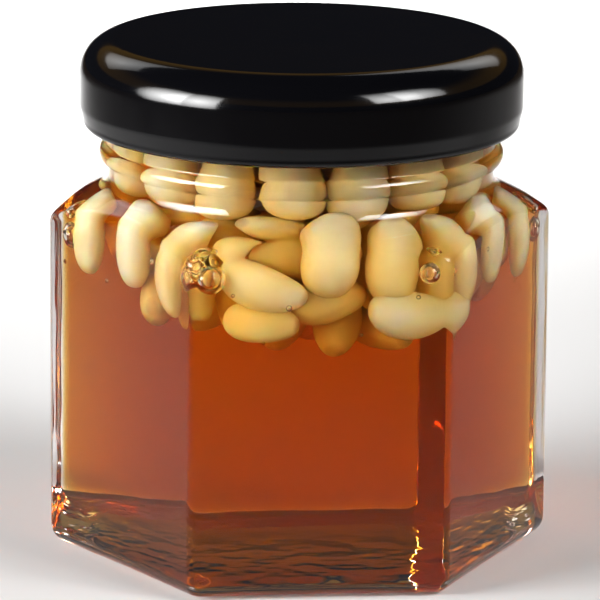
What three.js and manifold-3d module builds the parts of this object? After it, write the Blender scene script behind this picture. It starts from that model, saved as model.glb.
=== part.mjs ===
// Small six-sided glass jar of honey with pale nuts floating at the top, shut by a black twist-off lid.
// Millimetres, +Z up. The origin is the middle of the foot, and one flat side faces -Y.
import * as THREE from 'three';
import * as BufferGeometryUtils from 'three/addons/utils/BufferGeometryUtils.js';
import Module from 'manifold-3d';

const wasm = await Module();
wasm.setup();

// Glass: outside
const ACROSS_FLATS = 45.9;
const CORNER_RADIUS = 1.2;
const HEEL_RADIUS = 2.1;
const FOOT_RING_WIDTH = 3.4;
const FOOT_HOLLOW_SLOPE = 2.0;
const FOOT_HOLLOW = 0.5;
const SHOULDER_SLOPE = THREE.MathUtils.degToRad(27.5);
const SHOULDER_EDGE_RADIUS = 1.4;
const NECK_RADIUS = 20.2;
const NECK_ROOT_HEIGHT = 38.9;
const NECK_ROOT_FILLET = 2.0;
const BEAD_REACH = 21.2;
const BEAD_HEIGHT = 42.2;
const BEAD_ROUND = 1.05;
const BEAD_END = 1.3;
const BEAD_ABOVE = 0.25;
const FINISH_RADIUS = 20.4;
const RIM_HEIGHT = 52.8;

// Glass: inside
const WALL = 2.0;
const INNER_CORNER_RADIUS = 3.0;
const INNER_SHOULDER_RADIUS = 2.4;
const BORE_RADIUS = 18.1;
const BORE_EDGE_RADIUS = 1.6;
const FLOOR_HEIGHT = 2.8;
const FLOOR_DOME = 0.4;
const FLOOR_DOME_AT_HALF = 0.28;
const FLOOR_RADIUS = 3.0;

// Twist-off lid
const LID_RADIUS = 23.2;
const LID_TOP = 54.2;
const LID_BOTTOM = 45.0;
const LID_SHOULDER_RADIUS = 3.6;
const LID_WALL = 0.8;
const LID_CURL_RADIUS = 0.65;
const LID_DRAW_IN = 0.35;
const LID_DRAW_IN_HEIGHT = 2.2;
const LID_CURL_SIDES = 8;
const LUG_COUNT = 4;
const LUG_LENGTH = 7.0;
const LUG_DEPTH = 0.5;
const LUG_HEIGHT = 1.1;
const LUG_ROOT = 1.0;

// Filling
const GAP = 0.3;
const HONEY_TOP = 25.4;
const NUTS_TOP = 47.4;
const CORE_BOTTOM = 29.5;
const CORE_RADIUS = 17.0;
const CORE_BEVEL = 2.2;
const CORE_SHOULDER_HEIGHT = 35.0;
const CORE_NECK_RADIUS = 14.6;
const CORE_NECK_HEIGHT = 39.0;
const CORE_TOP = 46.0;
const CORE_SIDES = 16;
const NUT_SIDES = 8;
const NUT_BANDS = 4;
const NUT_TAPER = 0.16;

// Fineness of the round stretches
const FLAT_STEPS = 6;
const CORNER_STEPS = 4;
const ARC_STEPS = 4;
const BEAD_STEPS = 5;
const LID_STEPS = 48;

const SIDE = Math.PI / 3;
const HALF_SIDE = SIDE / 2;
const FRONT = -Math.PI / 2;

// Points [radius, height] on an arc round [r, z], from one angle above the outward direction to another
function arc(r, z, radius, from, to, steps = ARC_STEPS) {
  const points = [];
  for (let i = 0; i <= steps; i += 1) {
    const angle = from + ((to - from) * i) / steps;
    points.push([r + radius * Math.cos(angle), z + radius * Math.sin(angle)]);
  }
  return points;
}

// Distance from the axis to a hexagon with rounded corners, at an angle off the middle of the front side
function hexagonRadius(apothem, cornerRadius, angle) {
  const off = Math.abs(angle - SIDE * Math.round(angle / SIDE));
  const tangent = Math.atan(((apothem - cornerRadius) * Math.tan(HALF_SIDE)) / apothem);
  if (off <= tangent) return apothem / Math.cos(off);
  const centre = (apothem - cornerRadius) / Math.cos(HALF_SIDE);
  const fromCorner = HALF_SIDE - off;
  const across = centre * Math.sin(fromCorner);
  return centre * Math.cos(fromCorner) + Math.sqrt(cornerRadius ** 2 - across ** 2);
}

// Angles of the upright lines that make the six sides and the six rounded corners
function hexagonAngles() {
  const apothem = ACROSS_FLATS / 2;
  const tangent = Math.atan(((apothem - CORNER_RADIUS) * Math.tan(HALF_SIDE)) / apothem);
  const angles = [];
  for (let side = 0; side < 6; side += 1) {
    for (let i = 0; i < FLAT_STEPS; i += 1) {
      angles.push(side * SIDE - tangent + (2 * tangent * i) / FLAT_STEPS);
    }
    for (let i = 0; i < CORNER_STEPS; i += 1) {
      angles.push(side * SIDE + tangent + ((SIDE - 2 * tangent) * i) / CORNER_STEPS);
    }
  }
  return angles;
}

// Closed solid round the axis whose section may change with the angle.
// Every section has as many points, and its first and last ones lie on the axis.
function wrapSections(sectionAt, angles) {
  const sections = angles.map(sectionAt);
  const rings = sections[0].length - 2;
  const count = angles.length;
  const positions = [0, 0, sections[0][0][1]];
  for (let ring = 1; ring <= rings; ring += 1) {
    sections.forEach((section, i) => {
      const [radius, height] = section[ring];
      const around = FRONT + angles[i];
      positions.push(radius * Math.cos(around), radius * Math.sin(around), height);
    });
  }
  positions.push(0, 0, sections[0][rings + 1][1]);
  const last = positions.length / 3 - 1;
  const vertex = (ring, i) => 1 + (ring - 1) * count + (i % count);
  const faces = [];
  for (let i = 0; i < count; i += 1) {
    faces.push(0, vertex(1, i + 1), vertex(1, i));
    for (let ring = 1; ring < rings; ring += 1) {
      faces.push(vertex(ring, i), vertex(ring, i + 1), vertex(ring + 1, i + 1));
      faces.push(vertex(ring, i), vertex(ring + 1, i + 1), vertex(ring + 1, i));
    }
    faces.push(last, vertex(rings, i), vertex(rings, i + 1));
  }
  const geometry = new THREE.BufferGeometry();
  geometry.setAttribute('position', new THREE.Float32BufferAttribute(positions, 3));
  geometry.setIndex(faces);
  return geometry;
}

function toManifold(geometry) {
  const bare = geometry.clone();
  bare.deleteAttribute('normal');
  bare.deleteAttribute('uv');
  const merged = BufferGeometryUtils.mergeVertices(bare, 1e-5);
  const vertProperties = new Float32Array(merged.attributes.position.array);
  const triVerts = new Uint32Array(merged.index.array);
  return new wasm.Manifold(new wasm.Mesh({ numProp: 3, vertProperties, triVerts }));
}

function toGeometry(manifold) {
  const mesh = manifold.getMesh();
  const geometry = new THREE.BufferGeometry();
  geometry.setAttribute('position', new THREE.Float32BufferAttribute(mesh.vertProperties, 3));
  geometry.setIndex(Array.from(mesh.triVerts));
  return geometry;
}

// The main body alone, without loose scraps and with sealed hollows filled
function largestBody(manifold) {
  return manifold.decompose().reduce((most, body) => (body.volume() > most.volume() ? body : most));
}

// Height of the shoulder's cone, carried on past both of its ends
function shoulderHeight(radius) {
  return NECK_ROOT_HEIGHT - (radius - NECK_RADIUS) * Math.tan(SHOULDER_SLOPE);
}

// Section of the glass outside, from the middle of the foot up to the rim
function outsideSection(angle) {
  const wall = hexagonRadius(ACROSS_FLATS / 2, CORNER_RADIUS, angle);
  const ringOuter = wall - HEEL_RADIUS;
  const ringInner = ringOuter - FOOT_RING_WIDTH;
  const turn = Math.PI / 2 - SHOULDER_SLOPE;
  const edgeReach = SHOULDER_EDGE_RADIUS * Math.tan(turn / 2);
  const rootReach = NECK_ROOT_FILLET * Math.tan(turn / 2);
  const edgeHeight = shoulderHeight(wall) - edgeReach;
  const beadRise = BEAD_ROUND * Math.sin(BEAD_END);
  return [
    [0, FOOT_HOLLOW],
    [ringInner - FOOT_HOLLOW_SLOPE, FOOT_HOLLOW],
    [ringInner, 0],
    ...arc(ringOuter, HEEL_RADIUS, HEEL_RADIUS, -Math.PI / 2, 0),
    ...arc(wall - SHOULDER_EDGE_RADIUS, edgeHeight, SHOULDER_EDGE_RADIUS, 0, turn),
    ...arc(NECK_RADIUS + NECK_ROOT_FILLET, NECK_ROOT_HEIGHT + rootReach, NECK_ROOT_FILLET,
      Math.PI + turn, Math.PI),
    [NECK_RADIUS, BEAD_HEIGHT - beadRise],
    ...arc(BEAD_REACH - BEAD_ROUND, BEAD_HEIGHT, BEAD_ROUND, -BEAD_END, BEAD_END, BEAD_STEPS),
    [FINISH_RADIUS, BEAD_HEIGHT + beadRise + BEAD_ABOVE],
  ];
}

// Section of the cavity, from the middle of the floor up to the bore, drawn in by a margin all over
function insideSection(angle, margin) {
  const apothem = ACROSS_FLATS / 2 - WALL - margin;
  const wall = hexagonRadius(apothem, INNER_CORNER_RADIUS - margin, angle);
  const floor = FLOOR_HEIGHT + margin;
  const floorRadius = FLOOR_RADIUS - margin;
  const bore = BORE_RADIUS - margin;
  const drop = (WALL + margin) / Math.cos(SHOULDER_SLOPE);
  const turn = Math.PI / 2 - SHOULDER_SLOPE;
  const shoulderRadius = INNER_SHOULDER_RADIUS - margin;
  const boreEdge = BORE_EDGE_RADIUS + margin;
  const shoulderReach = shoulderRadius * Math.tan(turn / 2);
  const boreReach = boreEdge * Math.tan(turn / 2);
  const underCorner = shoulderHeight(wall) - drop - shoulderReach;
  const underBore = shoulderHeight(bore) - drop + boreReach;
  return [
    [0, floor + FLOOR_DOME],
    [wall / 2, floor + FLOOR_DOME_AT_HALF],
    ...arc(wall - floorRadius, floor + floorRadius, floorRadius, -Math.PI / 2, 0),
    ...arc(wall - shoulderRadius, underCorner, shoulderRadius, 0, turn),
    ...arc(bore + boreEdge, underBore, boreEdge, Math.PI + turn, Math.PI, 3),
  ];
}

function jarGeometry() {
  const rimRadius = (FINISH_RADIUS - BORE_RADIUS) / 2;
  const section = (angle) => [
    ...outsideSection(angle),
    ...arc(BORE_RADIUS + rimRadius, RIM_HEIGHT - rimRadius, rimRadius, 0, Math.PI),
    ...insideSection(angle, 0).reverse(),
  ];
  return wrapSections(section, hexagonAngles());
}

// Solid that fills the cavity up to a height between the floor and the shoulder
function honeyGeometry() {
  const section = (angle) => {
    const below = insideSection(angle, GAP).filter(([, height]) => height < HONEY_TOP);
    const [wall] = below.at(-1);
    return [...below, [wall, HONEY_TOP], [0, HONEY_TOP]];
  };
  return wrapSections(section, hexagonAngles());
}

// Space that the nuts may take: the cavity above the honey's solid, clear of the glass
function nutRoom() {
  const section = (angle) => {
    const above = insideSection(angle, GAP).filter(([, height]) => height > HONEY_TOP);
    const bottom = HONEY_TOP + GAP;
    return [[0, bottom], [above[0][0], bottom], ...above, [BORE_RADIUS - GAP, NUTS_TOP], [0, NUTS_TOP]];
  };
  return toManifold(wrapSections(section, hexagonAngles()));
}

// Middle of the heap, which carries the nuts that show
function nutCore() {
  const room = [
    [0, CORE_BOTTOM],
    [CORE_RADIUS - CORE_BEVEL, CORE_BOTTOM],
    [CORE_RADIUS, CORE_BOTTOM + CORE_BEVEL],
    [CORE_RADIUS, CORE_SHOULDER_HEIGHT],
    [CORE_NECK_RADIUS, CORE_NECK_HEIGHT],
    [CORE_NECK_RADIUS, CORE_TOP],
    [0, CORE_TOP],
  ];
  const angles = Array.from({ length: CORE_SIDES }, (_, i) => (i * 2 * Math.PI) / CORE_SIDES);
  return toManifold(wrapSections(() => room, angles));
}

// Repeatable random numbers from 0 to 1
function seededRandom(seed) {
  let state = seed;
  return () => {
    state = (state * 1664525 + 1013904223) % 4294967296;
    return state / 4294967296;
  };
}

// One plump nut, a little narrower at its upper end and bent like a bean.
// around: degrees from the front, to the right. lean: degrees of the long axis from upright.
// tuck: degrees that the upper end leans in to the axis.
function nutAt({ around, radius, height, lean = 0, tuck = 0, length = 9, width = 4.8, bend = 0 }) {
  const geometry = new THREE.SphereGeometry(1, NUT_SIDES, NUT_BANDS);
  geometry.rotateX(Math.PI / 2);
  const position = geometry.attributes.position;
  for (let i = 0; i < position.count; i += 1) {
    const along = position.getZ(i);
    const girth = (width / 2) * (1 - NUT_TAPER * along);
    const across = position.getX(i) * girth + bend * (0.5 - along * along);
    position.setXYZ(i, across, position.getY(i) * girth * 0.95, (along * length) / 2);
  }
  geometry.rotateY(THREE.MathUtils.degToRad(lean));
  geometry.rotateX(THREE.MathUtils.degToRad(-tuck));
  geometry.translate(0, -radius, height);
  geometry.rotateZ(THREE.MathUtils.degToRad(around));
  return toManifold(geometry);
}

// Nuts that lie against the three sides in front, from the left corner to the right one
const FRONT_NUTS = [
  { around: -86, radius: 19.9, height: 34.0, lean: 8, length: 8.4, width: 5.0 },
  { around: -62, radius: 17.9, height: 34.3, lean: -4, length: 8.6, width: 5.4 },
  { around: -38, radius: 19.2, height: 33.0, lean: 14, length: 9.4, width: 4.4, bend: -1.6 },
  { around: -17.5, radius: 18.7, height: 32.2, lean: 107, length: 9.6, width: 4.6, bend: 0.5 },
  { around: -18.5, radius: 18.0, height: 28.3, lean: 92, length: 8.0, width: 4.3 },
  { around: 4.5, radius: 17.5, height: 35.2, lean: 12, tuck: 10, length: 8.6, width: 6.0 },
  { around: 4.0, radius: 16.2, height: 30.4, lean: 80, length: 8.2, width: 4.6 },
  { around: 23.5, radius: 18.9, height: 34.3, lean: 2, tuck: 4, length: 8.4, width: 5.4 },
  { around: 29.5, radius: 19.6, height: 29.1, lean: 96, length: 10.0, width: 4.9, bend: 0.6 },
  { around: 40, radius: 19.4, height: 33.3, lean: -6, length: 9.8, width: 4.7, bend: 1.5 },
  { around: 64, radius: 18.0, height: 34.4, lean: 10, length: 8.8, width: 5.0 },
  { around: 83, radius: 19.8, height: 33.8, lean: -10, length: 9.2, width: 4.8, bend: 0.8 },
];

// Nuts against the three sides at the back, upright in one course with some lying under it
function backNuts(random) {
  const nuts = [];
  for (let around = 101; around < 262; around += 16.5) {
    const height = 34.0 + random();
    const lean = 30 * (random() - 0.5);
    nuts.push({ around, radius: 18.2, height, lean, length: 8 + 1.5 * random() });
  }
  for (const around of [112, 158, 176, 221]) {
    nuts.push({ around, radius: 18.0, height: 29.2, lean: 80 + 25 * random(), length: 8.5, width: 4.6 });
  }
  return nuts;
}

// Nuts in the neck, in two courses one above the other
function neckNuts(random) {
  const nuts = [];
  const courses = [{ height: 40.2, count: 11, radius: 15.0 }, { height: 44.9, count: 10, radius: 14.9 }];
  for (const { height, count, radius } of courses) {
    for (let i = 0; i < count; i += 1) {
      const around = (360 * (i + 0.3 * random())) / count;
      const lean = 90 + 70 * (random() - 0.5);
      const length = 7.8 + 1.8 * random();
      nuts.push({ around, radius, height: height + 0.8 * (random() - 0.5), lean, length, width: 4.9 });
    }
  }
  return nuts;
}

function nutsGeometry() {
  const random = seededRandom(7);
  const places = [...FRONT_NUTS, ...backNuts(random), ...neckNuts(random)];
  const heap = places.reduce((whole, place) => whole.add(nutAt(place)), nutCore());
  return toGeometry(largestBody(heap.intersect(nutRoom())));
}

// Pressed sheet cap: crown, rounded shoulder, skirt drawn in a little below, and a curl rolled inwards
function lidShell() {
  const shoulder = LID_RADIUS - LID_SHOULDER_RADIUS;
  const inner = LID_SHOULDER_RADIUS - LID_WALL;
  const crownEdge = LID_TOP - LID_SHOULDER_RADIUS;
  const curlCentre = LID_RADIUS - LID_DRAW_IN - LID_CURL_RADIUS;
  const curlHeight = LID_BOTTOM + LID_CURL_RADIUS;
  const curl = arc(curlCentre, curlHeight, LID_CURL_RADIUS, Math.PI * 0.9, Math.PI * 2.05, LID_CURL_SIDES);
  const outline = [
    [0, LID_TOP - LID_WALL],
    ...arc(shoulder, crownEdge, inner, Math.PI / 2, 0, 4),
    [LID_RADIUS - LID_WALL, LID_BOTTOM + LID_DRAW_IN_HEIGHT],
    ...curl,
    [LID_RADIUS, LID_BOTTOM + LID_DRAW_IN_HEIGHT],
    ...arc(shoulder, crownEdge, LID_SHOULDER_RADIUS, 0, Math.PI / 2, 6),
    [0, LID_TOP],
  ];
  const angles = Array.from({ length: LID_STEPS }, (_, i) => (i * 2 * Math.PI) / LID_STEPS);
  return toManifold(wrapSections(() => outline, angles));
}

// Short ledge pressed in from the curl, one of several that hold the lid under the jar's threads
function lidLug(index) {
  const geometry = new THREE.BoxGeometry(LUG_LENGTH, LUG_DEPTH + LUG_ROOT, LUG_HEIGHT);
  const curlInside = LID_RADIUS - LID_DRAW_IN - 2 * LID_CURL_RADIUS;
  const centre = curlInside + (LUG_ROOT - LUG_DEPTH) / 2;
  geometry.translate(0, -centre, LID_BOTTOM + LID_CURL_RADIUS);
  geometry.rotateZ((index * 2 * Math.PI) / LUG_COUNT + HALF_SIDE / 2);
  return toManifold(geometry);
}

function lidGeometry() {
  let lid = lidShell();
  for (let index = 0; index < LUG_COUNT; index += 1) {
    lid = lid.add(lidLug(index));
  }
  return toGeometry(lid);
}

function piece(name, geometry, finish) {
  const mesh = new THREE.Mesh(geometry, new THREE.MeshStandardMaterial(finish));
  mesh.name = name;
  return mesh;
}

const honeyJar = new THREE.Group();
honeyJar.add(piece('jar', jarGeometry(), { color: 0xe8ecea, roughness: 0.02, metalness: 0.0 }));
honeyJar.add(piece('lid', lidGeometry(), { color: 0x0a0a0c, roughness: 0.15, metalness: 0.0 }));
honeyJar.add(piece('honey', honeyGeometry(), { color: 0x8f3a0c, roughness: 0.05, metalness: 0.0 }));
honeyJar.add(piece('nuts', nutsGeometry(), { color: 0xe6c56e, roughness: 0.45, metalness: 0.0 }));

export default honeyJar;
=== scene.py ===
"""Small six-sided glass jar of honey with pine nuts floating at the top, shut by a black lid."""
import math
import random

import bmesh
import bpy
import numpy as np
from mathutils import Matrix, Vector, noise


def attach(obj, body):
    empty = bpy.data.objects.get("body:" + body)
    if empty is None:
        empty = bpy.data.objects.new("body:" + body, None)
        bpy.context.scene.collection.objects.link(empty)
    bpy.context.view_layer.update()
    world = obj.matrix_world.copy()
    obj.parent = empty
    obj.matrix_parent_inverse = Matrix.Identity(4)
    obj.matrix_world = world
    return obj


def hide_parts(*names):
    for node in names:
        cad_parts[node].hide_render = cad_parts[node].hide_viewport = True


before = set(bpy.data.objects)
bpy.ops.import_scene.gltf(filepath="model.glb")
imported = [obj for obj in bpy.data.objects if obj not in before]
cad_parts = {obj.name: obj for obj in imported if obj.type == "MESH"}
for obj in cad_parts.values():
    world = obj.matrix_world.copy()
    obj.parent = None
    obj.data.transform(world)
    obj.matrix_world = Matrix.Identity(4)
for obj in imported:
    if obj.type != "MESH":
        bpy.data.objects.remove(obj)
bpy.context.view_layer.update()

MM = 0.001
TURN = math.tau
SIDE = math.pi / 3
HALF_SIDE = SIDE / 2

# Glass outside, in millimetres: the sizes of the solid model
ACROSS_FLATS = 45.9
CORNER_RADIUS = 1.2
HEEL_RADIUS = 2.1
FOOT_RING_WIDTH = 3.4
FOOT_HOLLOW_SLOPE = 2.0
FOOT_HOLLOW = 0.5
FOOT_TOP = 0.7
SHOULDER_SLOPE = math.radians(27.5)
SHOULDER_EDGE_RADIUS = 1.4
NECK_RADIUS = 20.2
NECK_ROOT_HEIGHT = 38.9
NECK_ROOT_FILLET = 2.0
BEAD_REACH = 21.2
BEAD_HEIGHT = 42.2
BEAD_ROUND = 1.05
BEAD_END = 1.3
BEAD_ABOVE = 0.25
FINISH_RADIUS = 20.4
RIM_HEIGHT = 52.8

# Points that ease its bends: the hollow's edge and the ring's inside, and under and over the bead
HOLLOW_EASE_IN = 0.4
HOLLOW_EASE_OUT = 0.1
HOLLOW_EASE_DROP = 0.05
RING_EASE_IN = 0.3
RING_EASE_RISE = 0.06
BEAD_EASE_START = 0.15
BEAD_EASE_END = 0.02
BEAD_EASE_OUT = 0.07
FINISH_EASE_OUT = 0.01
FINISH_EASE_RISE = 0.1

# Glass inside
WALL = 2.0
INNER_CORNER_RADIUS = 3.0
INNER_SHOULDER_RADIUS = 2.4
BORE_RADIUS = 18.1
BORE_EDGE_RADIUS = 1.6
FLOOR_HEIGHT = 2.8
FLOOR_DOME = 0.4
FLOOR_DOME_AT_HALF = 0.28
FLOOR_RADIUS = 3.0

# Honey
HONEY_LEVEL = 48.2
HONEY_INTO_WALL = 0.06

# Twist-off lid
LID_STEPS = 160
LID_RADIUS = 23.2
LID_TOP = 54.2
LID_BOTTOM = 45.0
LID_SHOULDER_RADIUS = 3.6
LID_WALL = 0.8
LID_CURL_RADIUS = 0.65
LID_CURL_START = math.pi * 0.9
LID_CURL_END = math.pi * 2.05
LID_DRAW_IN = 0.35
LID_DRAW_IN_HEIGHT = 2.2
LUG_COUNT = 4
LUG_START = HALF_SIDE / 2
LUG_LENGTH = 7.0
LUG_DEPTH = 0.5
LUG_HEIGHT = 1.1
LUG_ROOT = 1.0
LUG_EDGE = 0.3

# Camera, in metres and radians, fitted to the jar's edges: a little to the left of square on
CAMERA_TARGET = Vector((0, 0, 0.026))
CAMERA_DISTANCE = 0.5626
CAMERA_AROUND = -0.0939
CAMERA_ABOVE = 0.2374
CAMERA_ROLL = 0.0081
CAMERA_LENS = 320
CAMERA_NEAREST = 0.01


def arc(r, z, radius, start, end, steps):
    """Points (radius, height) on an arc round (r, z), between two angles above outwards."""
    turns = [start + (end - start) * i / steps for i in range(steps + 1)]
    return [(r + radius * math.cos(a), z + radius * math.sin(a)) for a in turns]


def hexagon_radius(apothem, corner_radius, angle):
    """Distance from the axis to a hexagon with rounded corners, at an angle off a side's middle."""
    off = abs(angle - SIDE * round(angle / SIDE))
    tangent = math.atan((apothem - corner_radius) * math.tan(HALF_SIDE) / apothem)
    if off <= tangent:
        return apothem / math.cos(off)
    centre = (apothem - corner_radius) / math.cos(HALF_SIDE)
    from_corner = HALF_SIDE - off
    across = centre * math.sin(from_corner)
    return centre * math.cos(from_corner) + math.sqrt(corner_radius ** 2 - across ** 2)


def hexagon_angles(flat_steps=20, corner_steps=10, beside=math.radians(0.3)):
    """Angles of the upright lines of sides and corners, with a close one beside each crease."""
    apothem = ACROSS_FLATS / 2
    tangent = math.atan((apothem - CORNER_RADIUS) * math.tan(HALF_SIDE) / apothem)
    flat = [-tangent, -tangent + beside]
    flat += [-tangent + 2 * tangent * i / flat_steps for i in range(1, flat_steps)]
    flat += [tangent - beside]
    corner = [tangent + (SIDE - 2 * tangent) * i / corner_steps for i in range(corner_steps)]
    return [side * SIDE + angle for side in range(6) for angle in flat + corner]


def shoulder_height(radius):
    """Height of the shoulder's cone, carried on past both of its ends."""
    return NECK_ROOT_HEIGHT - (radius - NECK_RADIUS) * math.tan(SHOULDER_SLOPE)


def outside_section(angle):
    """Section of the glass outside, from the middle of the foot up to the finish."""
    wall = hexagon_radius(ACROSS_FLATS / 2, CORNER_RADIUS, angle)
    ring_outer = wall - HEEL_RADIUS
    ring_inner = ring_outer - FOOT_RING_WIDTH
    turn = math.pi / 2 - SHOULDER_SLOPE
    edge_height = shoulder_height(wall) - SHOULDER_EDGE_RADIUS * math.tan(turn / 2)
    root_height = NECK_ROOT_HEIGHT + NECK_ROOT_FILLET * math.tan(turn / 2)
    bead_rise = BEAD_ROUND * math.sin(BEAD_END)
    return [
        (0, FOOT_HOLLOW),
        (ring_inner - FOOT_HOLLOW_SLOPE - HOLLOW_EASE_IN, FOOT_HOLLOW),
        (ring_inner - FOOT_HOLLOW_SLOPE + HOLLOW_EASE_OUT, FOOT_HOLLOW - HOLLOW_EASE_DROP),
        (ring_inner - RING_EASE_IN, RING_EASE_RISE),
        (ring_inner, 0),
        *arc(ring_outer, HEEL_RADIUS, HEEL_RADIUS, -math.pi / 2, 0, 12),
        *arc(wall - SHOULDER_EDGE_RADIUS, edge_height, SHOULDER_EDGE_RADIUS, 0, turn, 10),
        *arc(NECK_RADIUS + NECK_ROOT_FILLET, root_height, NECK_ROOT_FILLET,
             math.pi + turn, math.pi, 12),
        (NECK_RADIUS, BEAD_HEIGHT - bead_rise - BEAD_EASE_START),
        (NECK_RADIUS + BEAD_EASE_OUT, BEAD_HEIGHT - bead_rise - BEAD_EASE_END),
        *arc(BEAD_REACH - BEAD_ROUND, BEAD_HEIGHT, BEAD_ROUND, -BEAD_END, BEAD_END, 16),
        (FINISH_RADIUS + FINISH_EASE_OUT, BEAD_HEIGHT + bead_rise + FINISH_EASE_RISE),
        (FINISH_RADIUS, BEAD_HEIGHT + bead_rise + BEAD_ABOVE),
    ]


def inside_section(angle, margin=0.0):
    """Section of the cavity, from its floor's middle up to the bore, drawn in by a margin."""
    wall = hexagon_radius(ACROSS_FLATS / 2 - WALL - margin, INNER_CORNER_RADIUS - margin, angle)
    floor = FLOOR_HEIGHT + margin
    floor_radius = FLOOR_RADIUS - margin
    bore = BORE_RADIUS - margin
    drop = (WALL + margin) / math.cos(SHOULDER_SLOPE)
    turn = math.pi / 2 - SHOULDER_SLOPE
    shoulder_radius = INNER_SHOULDER_RADIUS - margin
    bore_edge = BORE_EDGE_RADIUS + margin
    under_corner = shoulder_height(wall) - drop - shoulder_radius * math.tan(turn / 2)
    under_bore = shoulder_height(bore) - drop + bore_edge * math.tan(turn / 2)
    return [
        (0, floor + FLOOR_DOME),
        (wall / 2, floor + FLOOR_DOME_AT_HALF),
        *arc(wall - floor_radius, floor + floor_radius, floor_radius, -math.pi / 2, 0, 10),
        *arc(wall - shoulder_radius, under_corner, shoulder_radius, 0, turn, 10),
        *arc(bore + bore_edge, under_bore, bore_edge, math.pi + turn, math.pi, 6),
    ]


def with_supports(section_at, gap=1.0, beside=0.25):
    """The same sections with a point close to both ends of each long straight stretch."""
    front = section_at(0)
    long = [math.dist(a, b) > gap for a, b in zip(front, front[1:])]

    def supported(angle):
        section = section_at(angle)
        points = [section[0]]
        for is_long, a, b in zip(long, section, section[1:]):
            if is_long:
                share = beside / math.dist(a, b)
                points += [tuple(p + (q - p) * t for p, q in zip(a, b))
                           for t in (share, 1 - share)]
            points.append(b)
        return points

    return supported


def wrap(stretches, angles):
    """Closed body round the axis. Each stretch of its section is spun from the front and gets its
    own finish, and each upright line is then moved out to its own angle and section."""
    bm = bmesh.new()
    ring_of = bm.verts.layers.int.new("ring")
    for finish, section_at in enumerate(stretches):
        line = []
        for ring, (radius, height) in enumerate(section_at(0)):
            vert = bm.verts.new((0, -radius, height))
            vert[ring_of] = ring
            line.append(vert)
        edges = [bm.edges.new(pair) for pair in zip(line, line[1:])]
        before = set(bm.verts) - set(line)
        bmesh.ops.spin(bm, geom=line + edges, cent=(0, 0, 0), axis=(0, 0, 1), dvec=(0, 0, 0),
                       angle=TURN, steps=len(angles), use_merge=True, use_duplicate=False)
        sections = [section_at(angle) for angle in angles]
        for vert in set(bm.verts) - before:
            around = math.atan2(vert.co.x, -vert.co.y)
            number = round(around / TURN * len(angles)) % len(angles)
            radius, height = sections[number][vert[ring_of]]
            angle = angles[number]
            vert.co = (radius * math.sin(angle), -radius * math.cos(angle), height)
            for face in vert.link_faces:
                face.material_index = finish
    bmesh.ops.remove_doubles(bm, verts=bm.verts[:], dist=1e-5)
    bmesh.ops.recalc_face_normals(bm, faces=bm.faces[:])
    return bm


def add_piece(name, bm, finishes):
    """Makes the mesh a smooth piece of the jar, in metres, and lets it ride with the body."""
    bmesh.ops.scale(bm, vec=(MM, MM, MM), verts=bm.verts[:])
    for face in bm.faces:
        face.smooth = True
    mesh = bpy.data.meshes.new(name)
    bm.to_mesh(mesh)
    bm.free()
    for finish in finishes:
        mesh.materials.append(finish)
    piece = bpy.data.objects.new(name, mesh)
    bpy.context.scene.collection.objects.link(piece)
    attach(piece, "root")
    return piece


class Value:
    """A shader socket that can stand in a sum."""

    def __init__(self, finish, socket):
        self.finish = finish
        self.socket = socket

    def _maths(self, operation, first, second):
        return self.finish.node("ShaderNodeMath", {"operation": operation}, first, second)

    def __add__(self, other):
        return self._maths("ADD", self, other)

    def __radd__(self, other):
        return self._maths("ADD", other, self)

    def __mul__(self, other):
        return self._maths("MULTIPLY", self, other)

    def __rmul__(self, other):
        return self._maths("MULTIPLY", other, self)


class NodeMaker:
    """Adds nodes to a node tree and links them."""

    def __init__(self, tree):
        self.nodes = tree.nodes
        self.links = tree.links

    def put(self, socket, value):
        if isinstance(value, Value):
            self.links.new(value.socket, socket)
        else:
            socket.default_value = value

    def node(self, kind, settings, *values, out=0, **named):
        """Adds any node: its settings first, then its sockets' values or links."""
        node = self.nodes.new(kind)
        for key, value in settings.items():
            setattr(node, key, value)
        for socket, value in zip(node.inputs, values):
            self.put(socket, value)
        for key, value in named.items():
            self.put(node.inputs[key.replace("_", " ")], value)
        return Value(self, node.outputs[out])

    def ramp(self, value, low, high, start=0.0, end=1.0):
        """Smooth step from start to end as the value goes from low to high."""
        return self.node("ShaderNodeMapRange", {"interpolation_type": "SMOOTHSTEP"},
                         value, low, high, start, end)

    def mix(self, share, first, second):
        """Colour between two colours."""
        mix = self.nodes.new("ShaderNodeMix")
        mix.data_type = "RGBA"
        for key, value in (("Factor_Float", share), ("A_Color", first), ("B_Color", second)):
            self.put(next(s for s in mix.inputs if s.identifier == key), value)
        return Value(self, next(s for s in mix.outputs if s.identifier == "Result_Color"))


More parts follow.
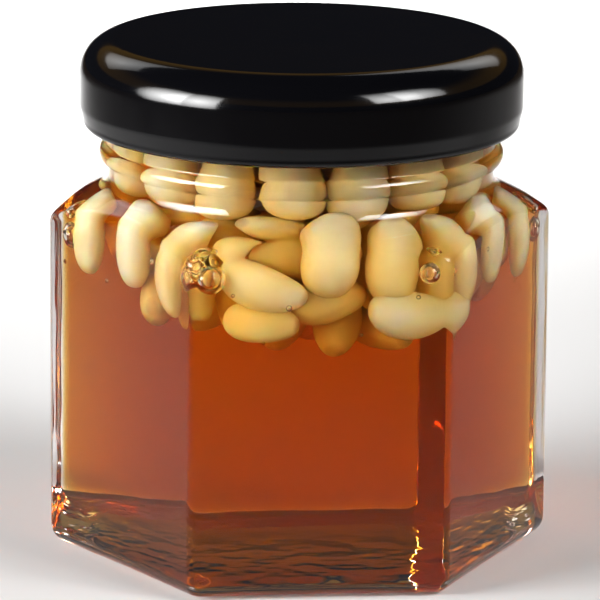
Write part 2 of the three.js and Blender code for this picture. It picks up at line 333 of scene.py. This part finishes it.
class Finish(NodeMaker):
    """A material built up round one Principled shader."""

    def __init__(self, name, **shader_values):
        self.material = bpy.data.materials.new(name)
        self.material.use_nodes = True
        super().__init__(self.material.node_tree)
        self.shader = self.nodes["Principled BSDF"]
        self.output = self.nodes["Material Output"]
        for key, value in shader_values.items():
            self.shader.inputs[key.replace("_", " ")].default_value = value

    def place(self):
        return self.node("ShaderNodeTexCoord", {}, out="Object")

    def cloud(self, scale, detail):
        return self.node("ShaderNodeTexNoise", {}, Vector=self.place(), Scale=scale,
                         Detail=detail, Roughness=0.5)

    def tone(self, name):
        """A number that is stored on the piece's own points."""
        return self.node("ShaderNodeAttribute", {"attribute_name": name}, out="Fac")

    def colour(self, value):
        self.put(self.shader.inputs["Base Color"], value)

    def rough(self, value):
        self.put(self.shader.inputs["Roughness"], value)

    def bump(self, height, distance, strength=1.0):
        normal = self.node("ShaderNodeBump", {}, Height=height, Distance=distance,
                           Strength=strength)
        self.put(self.shader.inputs["Normal"], normal)

    def fill(self, *parts):
        """Fills what the surface encloses with two kinds of volume: kind, colour, density."""
        volume = self.nodes.new("ShaderNodeAddShader")
        for place, (kind, tint, density) in enumerate(parts):
            part = self.nodes.new("ShaderNodeVolume" + kind)
            part.inputs["Color"].default_value = tint
            part.inputs["Density"].default_value = density
            self.links.new(part.outputs["Volume"], volume.inputs[place])
        self.links.new(volume.outputs["Shader"], self.output.inputs["Volume"])


# Finishes. Glass and honey bend light alike, so only the faces that air touches bend it.
GLASS_INDEX = 1.5
WETTED_INDEX = 1.0
WHITE = (1, 1, 1, 1)
HONEY_COLOUR = (0.90, 0.65, 0.0, 1)
HONEY_DENSITY = 225
HONEY_HAZE = (1.0, 0.5, 0.08, 1)
HONEY_HAZE_DENSITY = 11
ENAMEL_BLACK = (0.0015, 0.0015, 0.002, 1)
NUT_IVORY = (0.98, 0.92, 0.73, 1)
NUT_YELLOW = (0.96, 0.75, 0.35, 1)
NUT_BROWN = (0.42, 0.22, 0.08, 1)
PAPER_GREY = (0.75, 0.75, 0.75, 1)
ROOM_DARK = (0.009, 0.010, 0.014, 1)
ROOM_GLOW = (0.17, 0.095, 0.022, 1)


def clear_glass(name, index, ripple=130, depth=0.00012, gloss=0.6):
    """Moulded glass, whose faces are never quite flat."""
    glass = Finish(name, Base_Color=WHITE, Roughness=0.0, IOR=index, Transmission_Weight=1.0,
                   Specular_Tint=(gloss, gloss, gloss, 1))
    if index != WETTED_INDEX:
        glass.bump(glass.cloud(ripple, 1.0), depth)
    return glass.material


def honey_finish(name, index):
    """Clear amber honey with a faint haze in it."""
    honey = Finish(name, Base_Color=WHITE, Roughness=0.0, IOR=index, Transmission_Weight=1.0)
    honey.fill(("Absorption", HONEY_COLOUR, HONEY_DENSITY),
               ("Scatter", HONEY_HAZE, HONEY_HAZE_DENSITY))
    return honey.material


def bubble_finish():
    """Wall of an air bubble. It encloses no colour, or what is seen through is coloured twice."""
    return Finish("honey_bubble", Base_Color=WHITE, Roughness=0.0, IOR=GLASS_INDEX,
                  Transmission_Weight=1.0).material


def black_enamel():
    """Stoved gloss enamel with the faint orange peel of a sprayed coat."""
    enamel = Finish("black_enamel", Base_Color=ENAMEL_BLACK, Specular_IOR_Level=0.4)
    enamel.bump(enamel.cloud(900, 2.0), 0.000005)
    enamel.rough(0.07 + 0.05 * enamel.cloud(120, 4.0))
    return enamel.material


def nut_flesh():
    """Waxy ivory kernel, yellower in patches, that lets a little light through."""
    flesh = Finish("pine_nut", Roughness=0.38, IOR=1.45, Specular_IOR_Level=0.25,
                   Subsurface_Weight=0.5, Subsurface_Scale=0.002,
                   Subsurface_Radius=(1.0, 0.62, 0.3))
    patches = flesh.ramp(flesh.cloud(170, 3.0) + 0.5 * flesh.tone("ripeness"), 0.45, 1.05)
    tip = flesh.ramp(flesh.tone("along"), 0.86, 1.0)
    flesh.colour(flesh.mix(0.55 * tip, flesh.mix(patches, NUT_IVORY, NUT_YELLOW), NUT_BROWN))
    flesh.bump(flesh.cloud(420, 3.0), 0.00012, 0.6)
    return flesh.material


# Jar: the places of its finishes, with the wetted glass at 1
DRY_GLASS, FOOT_GLASS, NECK_GLASS = 0, 2, 3


def dry_glass_section(angle):
    """Glass that air touches: the whole outside, the rim, and the bore down to the honey."""
    rim_radius = (FINISH_RADIUS - BORE_RADIUS) / 2
    return [
        *outside_section(angle),
        *arc(BORE_RADIUS + rim_radius, RIM_HEIGHT - rim_radius, rim_radius, 0, math.pi, 10),
        (BORE_RADIUS, HONEY_LEVEL),
    ]


def wetted_glass_section(angle):
    """Glass that the honey touches, from its level down to the middle of the floor."""
    return [(BORE_RADIUS, HONEY_LEVEL), *reversed(inside_section(angle))]


def make_jar():
    bm = wrap([with_supports(dry_glass_section), with_supports(wetted_glass_section)],
              hexagon_angles())
    for face in bm.faces:
        height = face.calc_center_median().z
        if height < FOOT_TOP:
            face.material_index = FOOT_GLASS
        elif height > NECK_ROOT_HEIGHT and face.material_index == DRY_GLASS:
            face.material_index = NECK_GLASS
    finishes = [clear_glass("clear_glass", GLASS_INDEX),
                clear_glass("clear_glass_wetted", WETTED_INDEX),
                clear_glass("clear_glass_foot", GLASS_INDEX, ripple=260, depth=0.0004),
                clear_glass("clear_glass_neck", GLASS_INDEX, ripple=300, depth=0.00006, gloss=1.0)]
    jar = add_piece("jar_glass", bm, finishes)
    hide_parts("jar")


# Honey: the place of the bubbles' finish, after those of its body and its level
HONEY_BUBBLE = 2

# Air bubbles, the large ones caught under the shoulder in the cavity's corners: degrees round,
# radius and height of the middle, size
BUBBLES = [
    (-30.5, 21.8, 33.2, 1.6),
    (30.5, 22.3, 33.6, 1.1),
    (-91.5, 22.1, 33.5, 1.4),
    (92.5, 22.1, 33.5, 1.4),
    (-150, 22.0, 33.4, 1.5),
    (150, 22.2, 33.6, 1.3),
    (-8.5, 21.2, 30.4, 0.33),
    (-16, 20.6, 26.6, 0.2),
    (-24, 21.6, 31.6, 0.2),
    (12, 20.8, 27.4, 0.16),
    (27, 22.3, 31.2, 0.24),
    (-47, 21.4, 34.0, 0.3),
    (-70, 21.0, 30.2, 0.22),
    (53, 21.5, 34.4, 0.26),
    (74, 21.4, 29.4, 0.2),
    (3, 20.4, 24.2, 0.12),
    (-104, 21.6, 29.8, 0.25),
    (118, 21.0, 32.0, 0.3),
    (172, 20.6, 30.5, 0.28),
]


def honey_side_section(angle):
    return [*inside_section(angle, -HONEY_INTO_WALL), (BORE_RADIUS + HONEY_INTO_WALL, HONEY_LEVEL)]


def honey_top_section(_angle):
    edge = BORE_RADIUS + HONEY_INTO_WALL
    return [(edge, HONEY_LEVEL), (BORE_RADIUS / 2, HONEY_LEVEL), (0, HONEY_LEVEL)]


def make_honey():
    """Honey up to its level, with the bubbles as hollows in it."""
    bm = wrap([with_supports(honey_side_section), honey_top_section], hexagon_angles())
    for around, radius, height, size in BUBBLES:
        angle = math.radians(around)
        middle = (radius * math.sin(angle), -radius * math.cos(angle), height)
        ball = bmesh.ops.create_icosphere(bm, subdivisions=4, radius=size,
                                          matrix=Matrix.Translation(middle))
        faces = {face for vert in ball["verts"] for face in vert.link_faces}
        bmesh.ops.reverse_faces(bm, faces=list(faces))
        for face in faces:
            face.material_index = HONEY_BUBBLE
    finishes = [honey_finish("honey", WETTED_INDEX), honey_finish("honey_top", GLASS_INDEX),
                bubble_finish()]
    honey = add_piece("honey_fill", bm, finishes)
    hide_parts("honey")


# Nuts that are placed one by one: degrees round, radius and height of the middle, lean of the
# long axis from upright in degrees, tuck of its upper end to the axis, length, width and bend
FRONT_NUTS = [
    dict(around=-86, radius=19.9, height=34.0, lean=8, length=8.4, width=5.0),
    dict(around=-62, radius=17.9, height=34.3, lean=-4, length=8.6, width=5.4),
    dict(around=-39, radius=18.5, height=33.0, lean=14, length=9.4, width=4.4, bend=-1.6),
    dict(around=-17.5, radius=18.7, height=32.2, lean=107, length=9.6, width=4.6, bend=0.5),
    dict(around=-18.5, radius=18.0, height=28.3, lean=92, length=8.0, width=4.3),
    dict(around=4.5, radius=17.5, height=35.2, lean=12, tuck=10, length=8.6, width=6.0),
    dict(around=4.0, radius=16.2, height=30.4, lean=80, length=8.2, width=4.6),
    dict(around=23.5, radius=18.9, height=34.3, lean=2, tuck=4, length=8.4, width=5.4),
    dict(around=29.5, radius=19.6, height=29.1, lean=96, length=10.0, width=4.9, bend=0.6),
    dict(around=40, radius=18.8, height=33.3, lean=-6, length=9.8, width=4.7, bend=1.5),
    dict(around=64, radius=18.0, height=34.4, lean=10, length=8.8, width=5.0),
    dict(around=83, radius=19.8, height=33.8, lean=-10, length=9.2, width=4.8, bend=0.8),
]
NECK_NUTS = [
    dict(around=-84, radius=14.6, height=41.8, lean=6, length=9.8, width=5.8),
    dict(around=-59, radius=14.5, height=42.4, lean=-5, length=9.4, width=6.0),
    dict(around=-34, radius=14.6, height=41.5, lean=8, length=10.2, width=5.7, bend=0.5),
    dict(around=-9, radius=14.5, height=42.3, lean=-12, length=9.6, width=6.0),
    dict(around=16, radius=14.6, height=41.6, lean=4, length=10.0, width=5.8),
    dict(around=41, radius=14.5, height=42.3, lean=-7, length=9.6, width=6.0, bend=-0.5),
    dict(around=66, radius=14.6, height=41.7, lean=9, length=9.9, width=5.7),
    dict(around=90, radius=14.5, height=42.2, lean=-4, length=9.5, width=5.9),
    dict(around=116, radius=14.6, height=41.8, lean=7, length=9.8, width=5.8),
    dict(around=141, radius=14.5, height=42.2, lean=-8, length=9.6, width=6.0),
    dict(around=167, radius=14.6, height=41.6, lean=5, length=10.0, width=5.7),
    dict(around=193, radius=14.5, height=42.3, lean=-6, length=9.4, width=6.0),
    dict(around=222, radius=14.6, height=41.8, lean=8, length=9.8, width=5.8),
    dict(around=249, radius=14.5, height=42.1, lean=-5, length=9.6, width=5.9),
]

# The rest of the heap: where the loose nuts start, how upright they stand, and their sizes
NUT_SEED = 7
LOOSE_NUTS = 56
HEAP_RADIUS = 15
HEAP_BOTTOM, HEAP_TOP = 26, 45
NECK_NUTS_ABOVE = 37
UPRIGHT_IN_NECK, UPRIGHT_BELOW = 3.0, 0.8
LOOSE_LENGTHS = (8.6, 10.4)
LOOSE_WIDTHS = (4.9, 5.8)
LOOSE_BENDS = (-0.4, 0.9)

# Their settling. Each nut is three balls in a row, at these places along it.
BALLS = np.array([-1.0, 0.0, 1.0])
BALL_SIZE = 0.49
SETTLING_STEPS = 220
PRESSED_APART = 0.6
FLOATED_UP = 0.03
GLASS_GAP = 0.1
SURFACE_GAP = 0.4

# A kernel's shape, and its lumps
NUT_BLUNTNESS = 0.08
NUT_TAPER = 0.14
NUT_FLATNESS = 0.95
LUMP_HEIGHT = 0.05
LUMP_SCALE = 1.1
LUMP_SPREAD = 40


def front_nut_turn(around, radius, height, lean=0, tuck=0):
    """Turn and place of a nut that stands at the front and is then swung round the axis."""
    swing = Matrix.Rotation(math.radians(around), 4, "Z")
    tucked = Matrix.Rotation(math.radians(-tuck), 4, "X")
    leant = Matrix.Rotation(math.radians(lean), 4, "Y")
    return swing @ Matrix.Translation((0, -radius, height)) @ tucked @ leant


def keep_in_room(balls, sizes):
    """Moves balls back in that stick out of sides, shoulder and bore, or the honey's level."""
    for side in range(6):
        out = np.array([math.sin(side * SIDE), -math.cos(side * SIDE), 0.0])
        past = balls @ out - (ACROSS_FLATS / 2 - WALL - GLASS_GAP - sizes)
        balls -= np.outer(np.maximum(past, 0), out)
    radius = np.maximum(np.hypot(balls[:, 0], balls[:, 1]), 1e-6)
    outward = np.column_stack([balls[:, 0] / radius, balls[:, 1] / radius, np.zeros(len(balls))])
    ceiling = (NECK_ROOT_HEIGHT - WALL / math.cos(SHOULDER_SLOPE)
               - (radius - NECK_RADIUS) * math.tan(SHOULDER_SLOPE))
    under = (balls[:, 2] - ceiling) * math.cos(SHOULDER_SLOPE) + sizes
    beyond = radius - (BORE_RADIUS - GLASS_GAP - sizes)
    stuck = (under > 0) & (beyond > 0)
    down = stuck & (under < beyond)
    slope = outward * math.sin(SHOULDER_SLOPE) + np.array([0, 0, math.cos(SHOULDER_SLOPE)])
    balls[down] -= slope[down] * under[down, None]
    inward = stuck & ~down
    balls[inward] -= outward[inward] * beyond[inward, None]
    balls[:, 2] = np.minimum(balls[:, 2], HONEY_LEVEL - SURFACE_GAP - sizes)


def settle(middles, axes, lengths, widths, fixed):
    """Floats the loose nuts up and presses them apart, while the first ones stay."""
    reach = (lengths - widths) / 2
    sizes = np.repeat(widths * BALL_SIZE, 3)
    owner = np.repeat(np.arange(len(middles)), 3)
    apart = owner[:, None] != owner[None, :]
    loose = owner >= fixed
    for _ in range(SETTLING_STEPS):
        along = axes[:, None, :] * (reach[:, None] * BALLS)[:, :, None]
        balls = (middles[:, None, :] + along).reshape(-1, 3)
        between = balls[:, None, :] - balls[None, :, :]
        distance = np.linalg.norm(between, axis=2) + 1e-9
        overlap = np.where(apart, sizes[:, None] + sizes[None, :] - distance, 0).clip(0)
        share = np.where(loose[None, :], 0.5, 1.0)
        push = overlap * share * PRESSED_APART
        balls += (between / distance[:, :, None] * push[:, :, None]).sum(axis=1)
        balls[:, 2] += FLOATED_UP
        keep_in_room(balls, sizes)
        rows = balls.reshape(-1, 3, 3)
        ahead = rows[:, 2] - rows[:, 0]
        ahead /= np.linalg.norm(ahead, axis=1)[:, None]
        middles[fixed:] = rows.mean(axis=1)[fixed:]
        axes[fixed:] = ahead[fixed:]
    return middles, axes


def loose_nuts(chance, front):
    """Fills the rest of the heap's room, and returns each nut's turn and sizes."""
    middles = [turn.translation for turn, _ in front]
    axes = [turn.to_3x3() @ Vector((0, 0, 1)) for turn, _ in front]
    shapes = [dict(length=shape["length"], width=shape["width"]) for _, shape in front]
    for _ in range(LOOSE_NUTS):
        around = chance.uniform(0, TURN)
        radius = HEAP_RADIUS * math.sqrt(chance.random())
        height = chance.uniform(HEAP_BOTTOM, HEAP_TOP)
        upright = UPRIGHT_IN_NECK if height > NECK_NUTS_ABOVE else UPRIGHT_BELOW
        middles.append(Vector((radius * math.sin(around), -radius * math.cos(around), height)))
        axis = (chance.gauss(0, 1), chance.gauss(0, 1), upright * chance.gauss(0, 1))
        axes.append(Vector(axis).normalized())
        shapes.append(dict(length=chance.uniform(*LOOSE_LENGTHS),
                           width=chance.uniform(*LOOSE_WIDTHS)))
    lengths = np.array([shape["length"] for shape in shapes])
    widths = np.array([shape["width"] for shape in shapes])
    middles, axes = settle(np.array(middles), np.array(axes), lengths, widths, len(front))
    nuts = []
    for middle, axis, shape in list(zip(middles, axes, shapes))[len(front):]:
        turn = Vector(axis).to_track_quat("Z", "Y").to_matrix().to_4x4()
        spin = Matrix.Rotation(chance.uniform(0, TURN), 4, "Z")
        nuts.append((Matrix.Translation(Vector(middle)) @ turn @ spin,
                     dict(shape, bend=chance.uniform(*LOOSE_BENDS))))
    return nuts


def add_nut(bm, chance, turn, length, width, bend=0):
    """One plump kernel, narrower at its upper end and bent like a bean."""
    along_of, ripeness_of = (bm.verts.layers.float.get(name) or bm.verts.layers.float.new(name)
                             for name in ("along", "ripeness"))
    ripeness = chance.random()
    nut = bmesh.ops.create_icosphere(bm, subdivisions=4, radius=1)["verts"]
    seed = Vector((chance.random(), chance.random(), chance.random())) * LUMP_SPREAD
    for vert in nut:
        x, y, along = vert.co
        lump = 1 + LUMP_HEIGHT * noise.noise(vert.co * LUMP_SCALE + seed)
        fullness = max(1 - along * along, 0.01) ** -NUT_BLUNTNESS
        girth = width / 2 * (1 - NUT_TAPER * along) * lump * fullness
        vert[along_of] = along
        vert[ripeness_of] = ripeness
        vert.co = Vector((x * girth + bend * (0.5 - along * along), y * girth * NUT_FLATNESS,
                          along * length / 2))
    bmesh.ops.transform(bm, matrix=turn, verts=nut)


def make_nuts():
    chance = random.Random(NUT_SEED)
    front = []
    for nut in FRONT_NUTS + NECK_NUTS:
        shape = {key: nut[key] for key in ("length", "width", "bend") if key in nut}
        place = {key: value for key, value in nut.items() if key not in shape}
        front.append((front_nut_turn(**place), shape))
    bm = bmesh.new()
    for turn, shape in front + loose_nuts(chance, front):
        add_nut(bm, chance, turn, **shape)
    nuts = add_piece("pine_nuts", bm, [nut_flesh()])
    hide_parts("nuts")


# Lid
def lid_section(_angle):
    """Section of the lid, from under its top's middle, round the rolled edge, to the top."""
    shoulder = LID_RADIUS - LID_SHOULDER_RADIUS
    inner = LID_SHOULDER_RADIUS - LID_WALL
    crown_edge = LID_TOP - LID_SHOULDER_RADIUS
    curl_centre = LID_RADIUS - LID_DRAW_IN - LID_CURL_RADIUS
    return [
        (0, LID_TOP - LID_WALL),
        *arc(shoulder, crown_edge, inner, math.pi / 2, 0, 10),
        (LID_RADIUS - LID_WALL, LID_BOTTOM + LID_DRAW_IN_HEIGHT),
        *arc(curl_centre, LID_BOTTOM + LID_CURL_RADIUS, LID_CURL_RADIUS,
             LID_CURL_START, LID_CURL_END, 20),
        (LID_RADIUS, LID_BOTTOM + LID_DRAW_IN_HEIGHT),
        *arc(shoulder, crown_edge, LID_SHOULDER_RADIUS, 0, math.pi / 2, 18),
        (0, LID_TOP),
    ]


def make_lid():
    bm = wrap([with_supports(lid_section)], [TURN * i / LID_STEPS for i in range(LID_STEPS)])
    curl_inside = LID_RADIUS - LID_DRAW_IN - 2 * LID_CURL_RADIUS
    place = Matrix.Translation((0, curl_inside + (LUG_ROOT - LUG_DEPTH) / 2,
                                LID_BOTTOM + LID_CURL_RADIUS))
    size = Matrix.Diagonal((LUG_LENGTH, LUG_DEPTH + LUG_ROOT, LUG_HEIGHT, 1))
    for index in range(LUG_COUNT):
        turn = Matrix.Rotation(index * TURN / LUG_COUNT + LUG_START, 4, "Z")
        lug = bmesh.ops.create_cube(bm, size=1, matrix=turn @ place @ size)["verts"]
        edges = list({edge for vert in lug for edge in vert.link_edges})
        bmesh.ops.bevel(bm, geom=lug + edges, offset=LUG_EDGE, segments=3, profile=0.5,
                        affect="EDGES", material=-1)
    lid = add_piece("lid_cap", bm, [black_enamel()])
    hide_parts("lid")


# Studio, in metres and degrees. Each light at a side is two panels that overlap: their width and
# how far each is moved off, as shares of the light's width.
SOFTBOX_MIDDLE = Vector((0, 0, 0.03))
PANEL_WIDTH = 0.65
PANEL_OFFSET = 0.2
SIDE_LIGHT = dict(distance=0.3, spread=44, aim=(0, 0.02, 0.07))
SIDE_LIGHTS = [
    dict(name="left_softbox", around=-73, above=20, width=0.25, height=0.21, brightness=33),
    dict(name="right_softbox", around=54, above=36, width=0.2, height=0.15, brightness=20),
]
BACK_LIGHT = dict(above=33, distance=0.85, width=0.45, height=0.28, spread=40, aim=(0, 0, 0.05))
BACK_LIGHTS = [
    dict(BACK_LIGHT, name="left_back_light", around=-152, brightness=2.5),
    dict(BACK_LIGHT, name="right_back_light", around=152, brightness=2),
    dict(name="backdrop_light", around=180, above=52.7, distance=0.742, width=0.18, height=0.6,
         brightness=165, spread=26, aim=(0, 0.45, 0)),
]
TABLE_SIZE = 3.0
TABLE_DROP = 0.0002
GLOW_START = (0.25, 0.275)
GLOW_FADE = (0.42, 0.65)


def pointing(around, above):
    """Direction from the jar, at an angle round it and an angle above the table."""
    return Vector((math.sin(around) * math.cos(above), -math.cos(around) * math.cos(above),
                   math.sin(above)))


def add_softbox(name, around, above, distance, width, height, brightness, spread, aim):
    """A soft light with a grid in front, which narrows its beam."""
    half = math.radians(spread / 2)
    light = bpy.data.lights.new(name, "AREA")
    light.shape = "RECTANGLE"
    light.size = width
    light.size_y = height
    light.spread = 2 * half
    light.energy = brightness * math.pi * width * height * (1 - half / math.tan(half))
    box = bpy.data.objects.new(name, light)
    away = pointing(math.radians(around), math.radians(above))
    box.location = SOFTBOX_MIDDLE + away * distance
    box.rotation_euler = (box.location - Vector(aim)).to_track_quat("Z", "Y").to_euler()
    bpy.context.scene.collection.objects.link(box)


def make_lights():
    for light in SIDE_LIGHTS:
        offset = math.degrees(light["width"] * PANEL_OFFSET / SIDE_LIGHT["distance"])
        for turn in (-offset, offset):
            add_softbox(**dict(light, around=light["around"] + turn,
                               width=PANEL_WIDTH * light["width"]), **SIDE_LIGHT)
    for light in BACK_LIGHTS:
        add_softbox(**light)


def make_table():
    bm = bmesh.new()
    bmesh.ops.create_grid(bm, x_segments=1, y_segments=1, size=TABLE_SIZE)
    mesh = bpy.data.meshes.new("table")
    bm.to_mesh(mesh)
    bm.free()
    table = bpy.data.objects.new("table", mesh)
    table.location.z = -TABLE_DROP
    paper = Finish("pale_paper", Base_Color=PAPER_GREY, Roughness=0.9, Specular_IOR_Level=0.1)
    mesh.materials.append(paper.material)
    bpy.context.scene.collection.objects.link(table)


def make_sky():
    """Dark room with a warm glow that stands all round, a little above the horizon."""
    world = bpy.data.worlds.new("studio")
    world.use_nodes = True
    sky = NodeMaker(world.node_tree)
    direction = sky.node("ShaderNodeTexCoord", {}, out="Generated")
    upward = sky.node("ShaderNodeSeparateXYZ", {}, direction, out="Z")
    glow = sky.ramp(upward, *GLOW_START) * sky.ramp(upward, *GLOW_FADE, start=1.0, end=0.0)
    background = sky.nodes["Background"]
    sky.put(background.inputs["Color"], sky.mix(glow, ROOM_DARK, ROOM_GLOW))
    bpy.context.scene.world = world


def make_camera():
    back = pointing(CAMERA_AROUND, CAMERA_ABOVE)
    data = bpy.data.cameras.new("camera")
    data.lens = CAMERA_LENS
    data.clip_start = CAMERA_NEAREST
    camera = bpy.data.objects.new("camera", data)
    camera.location = CAMERA_TARGET + back * CAMERA_DISTANCE
    turn = back.to_track_quat("Z", "Y").to_matrix() @ Matrix.Rotation(CAMERA_ROLL, 3, "Z")
    camera.rotation_euler = turn.to_euler()
    bpy.context.scene.collection.objects.link(camera)
    bpy.context.scene.camera = camera


def set_light_paths(scene):
    """Light that is trapped in the glass meets its faces many times before it gets out."""
    scene.view_settings.view_transform = "Standard"
    scene.cycles.use_denoising = True
    scene.cycles.max_bounces = 96
    scene.cycles.transmission_bounces = 96
    scene.cycles.glossy_bounces = 24
    scene.cycles.diffuse_bounces = 4
    scene.cycles.volume_bounces = 12


make_camera()
make_jar()
make_honey()
make_nuts()
make_lid()
make_table()
make_lights()
make_sky()
set_light_paths(bpy.context.scene)
